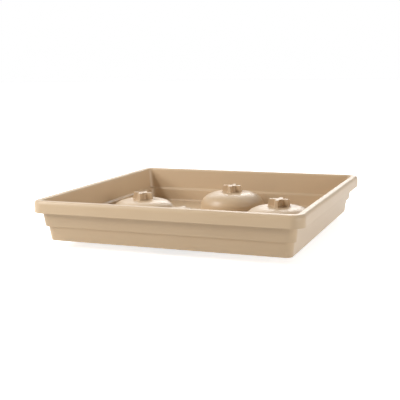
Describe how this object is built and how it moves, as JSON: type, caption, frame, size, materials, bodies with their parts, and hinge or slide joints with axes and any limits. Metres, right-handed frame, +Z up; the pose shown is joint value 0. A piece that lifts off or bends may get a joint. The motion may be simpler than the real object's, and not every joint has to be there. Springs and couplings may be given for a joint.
{
  "type": "rolling plant saucer",
  "caption": "Square plant saucer with stepped walls and a rolled rim; domed wells in its floor hide swivel casters, and ribbed stem sockets hold the pot above the water.",
  "frame": {"origin": "centre of the part on the floor, under the wheels", "axes": "+Z up, -Y towards the front side of the tray, +X to its right"},
  "size_m": [0.406, 0.406, 0.0726],
  "materials": {
    "sand_plastic": "moulded polypropylene, fine satin texture",
    "black_nylon": "moulded nylon",
    "grey_tread": "moulded hard tread",
    "zinc_steel": "bright zinc plate"
  },
  "bodies": {
    "tray": {"tray": "sand_plastic", "stem_front": "zinc_steel", "grip_ring_front": "zinc_steel", "stem_right": "zinc_steel", "grip_ring_right": "zinc_steel", "stem_back": "zinc_steel", "grip_ring_back": "zinc_steel", "stem_left": "zinc_steel", "grip_ring_left": "zinc_steel"},
    "caster_front": {"caster_body_front": "black_nylon", "axle_front": "zinc_steel"},
    "wheel_front_1": {"wheel_front_1": "grey_tread"},
    "wheel_front_2": {"wheel_front_2": "grey_tread"},
    "caster_right": {"caster_body_right": "black_nylon", "axle_right": "zinc_steel"},
    "wheel_right_1": {"wheel_right_1": "grey_tread"},
    "wheel_right_2": {"wheel_right_2": "grey_tread"},
    "caster_back": {"caster_body_back": "black_nylon", "axle_back": "zinc_steel"},
    "wheel_back_1": {"wheel_back_1": "grey_tread"},
    "wheel_back_2": {"wheel_back_2": "grey_tread"},
    "caster_left": {"caster_body_left": "black_nylon", "axle_left": "zinc_steel"},
    "wheel_left_1": {"wheel_left_1": "grey_tread"},
    "wheel_left_2": {"wheel_left_2": "grey_tread"}
  },
  "joints": [
    {"name": "swivel_front", "type": "hinge", "parent": "tray", "child": "caster_front", "pos_m": [0, -0.1158, 0.04], "axis": [0, 0, 1], "continuous": true},
    {"name": "spin_front_1", "type": "hinge", "parent": "caster_front", "child": "wheel_front_1", "pos_m": [0, -0.1008, 0.018], "axis": [1, 0, 0], "continuous": true},
    {"name": "spin_front_2", "type": "hinge", "parent": "caster_front", "child": "wheel_front_2", "pos_m": [0, -0.1008, 0.018], "axis": [1, 0, 0], "continuous": true},
    {"name": "swivel_right", "type": "hinge", "parent": "tray", "child": "caster_right", "pos_m": [0.1158, 0, 0.04], "axis": [0, 0, 1], "continuous": true},
    {"name": "spin_right_1", "type": "hinge", "parent": "caster_right", "child": "wheel_right_1", "pos_m": [0.1008, 0, 0.018], "axis": [0, 1, 0], "continuous": true},
    {"name": "spin_right_2", "type": "hinge", "parent": "caster_right", "child": "wheel_right_2", "pos_m": [0.1008, 0, 0.018], "axis": [0, 1, 0], "continuous": true},
    {"name": "swivel_back", "type": "hinge", "parent": "tray", "child": "caster_back", "pos_m": [0, 0.1158, 0.04], "axis": [0, 0, 1], "continuous": true},
    {"name": "spin_back_1", "type": "hinge", "parent": "caster_back", "child": "wheel_back_1", "pos_m": [0, 0.1008, 0.018], "axis": [-1, 0, 0], "continuous": true},
    {"name": "spin_back_2", "type": "hinge", "parent": "caster_back", "child": "wheel_back_2", "pos_m": [0, 0.1008, 0.018], "axis": [-1, 0, 0], "continuous": true},
    {"name": "swivel_left", "type": "hinge", "parent": "tray", "child": "caster_left", "pos_m": [-0.1158, 0, 0.04], "axis": [0, 0, 1], "continuous": true},
    {"name": "spin_left_1", "type": "hinge", "parent": "caster_left", "child": "wheel_left_1", "pos_m": [-0.1008, 0, 0.018], "axis": [0, -1, 0], "continuous": true},
    {"name": "spin_left_2", "type": "hinge", "parent": "caster_left", "child": "wheel_left_2", "pos_m": [-0.1008, 0, 0.018], "axis": [0, -1, 0], "continuous": true}
  ]
}
